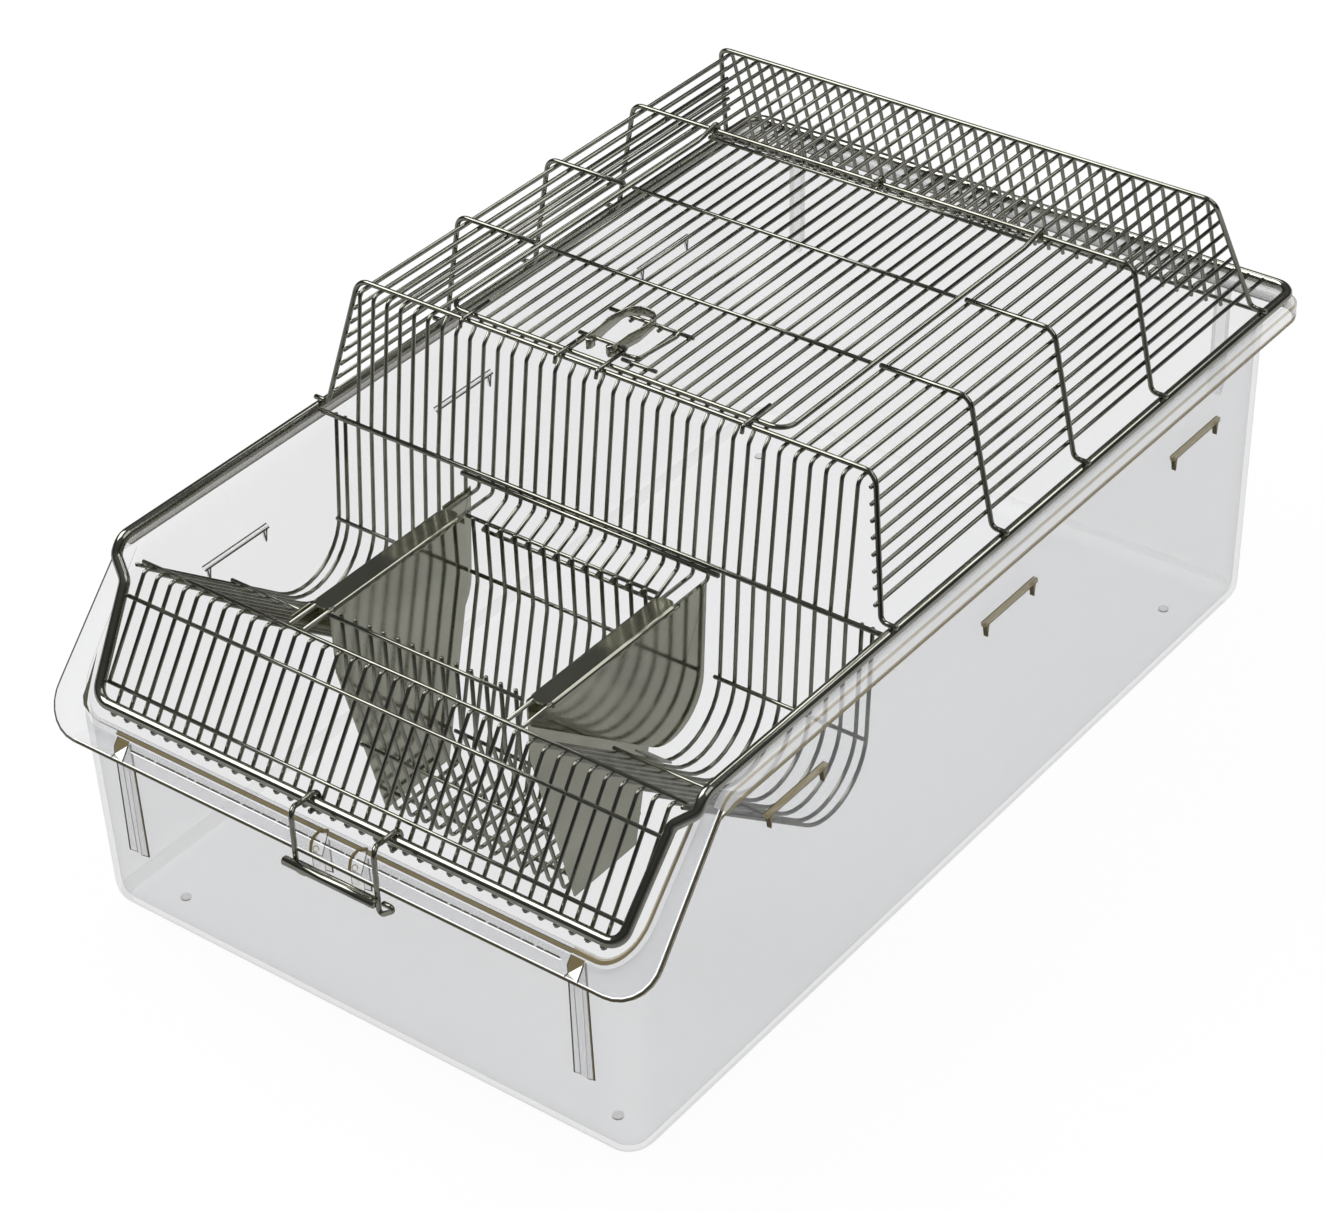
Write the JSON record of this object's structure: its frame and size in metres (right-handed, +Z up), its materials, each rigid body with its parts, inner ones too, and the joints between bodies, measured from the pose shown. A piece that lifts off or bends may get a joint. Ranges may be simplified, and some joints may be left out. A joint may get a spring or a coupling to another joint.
{
  "type": "rodent cage",
  "caption": "Clear plastic laboratory rodent cage with a lift-off wire lid, food hopper, bottle wells and a hinged roof door.",
  "frame": {"origin": "centre of the base, on the plane of the tub's four feet", "axes": "+X to the right seen from the sloping front, +Y from the front to the rear, +Z up"},
  "size_m": [0.3826, 0.6142, 0.282],
  "materials": {
    "clear_plastic": "clear moulded",
    "steel_wire": "electropolished",
    "polished_sheet": "mirror polished"
  },
  "bodies": {
    "tub": {"tub": "clear_plastic"},
    "lid": {"perimeter_rod": "steel_wire", "front_hoop": "steel_wire", "second_hoop": "steel_wire", "third_hoop": "steel_wire", "hinge_hoop": "steel_wire", "rear_hoop": "steel_wire", "slope_wires": "steel_wire", "left_well_wires": "steel_wire", "right_well_wires": "steel_wire", "left_roof_wires": "steel_wire", "right_roof_wires": "steel_wire", "shelf_wires": "steel_wire", "divider_rails": "steel_wire", "rear_roof_wires": "steel_wire", "ledge_wires": "steel_wire", "left_side_wires": "steel_wire", "right_side_wires": "steel_wire", "slope_cross_wires": "steel_wire", "slope_head_bar": "steel_wire", "face_bar": "steel_wire", "face_stiffener": "steel_wire", "left_well_cross_wires": "steel_wire", "right_well_cross_wires": "steel_wire", "shelf_bar": "steel_wire", "rear_sill_wire": "steel_wire", "hopper_wires": "steel_wire", "hopper_front_bar": "steel_wire", "hopper_rear_bar": "steel_wire", "hopper_cross_wires": "steel_wire", "left_divider": "polished_sheet", "right_divider": "polished_sheet"},
    "door": {"door_frame": "steel_wire", "door_wires": "steel_wire", "door_cross_wires": "steel_wire", "door_middle_eye": "steel_wire", "door_fingers": "steel_wire", "clip_pivot_wire": "steel_wire", "clip_guard_wire": "steel_wire"},
    "clip": {"door_clip": "polished_sheet"},
    "bail": {"bail_legs": "steel_wire", "bail_rear_wire": "steel_wire", "bail_grip_bar": "steel_wire"}
  },
  "joints": [
    {"name": "lid_lift", "type": "slide", "parent": "tub", "child": "lid", "axis": [0, 0, 1], "range_m": [0, 0.28]},
    {"name": "door_hinge", "type": "hinge", "parent": "lid", "child": "door", "pos_m": [0, 0.164, 0.274], "axis": [-1, 0, 0], "range_deg": [0, 165]},
    {"name": "clip_tilt", "type": "hinge", "parent": "door", "child": "clip", "pos_m": [0, -0.0532, 0.279], "axis": [1, 0, 0], "range_deg": [0, 35]},
    {"name": "bail_swing", "type": "hinge", "parent": "lid", "child": "bail", "pos_m": [0, -0.28199, 0.13268], "axis": [-1, 0, 0], "range_deg": [0, 85]}
  ]
}
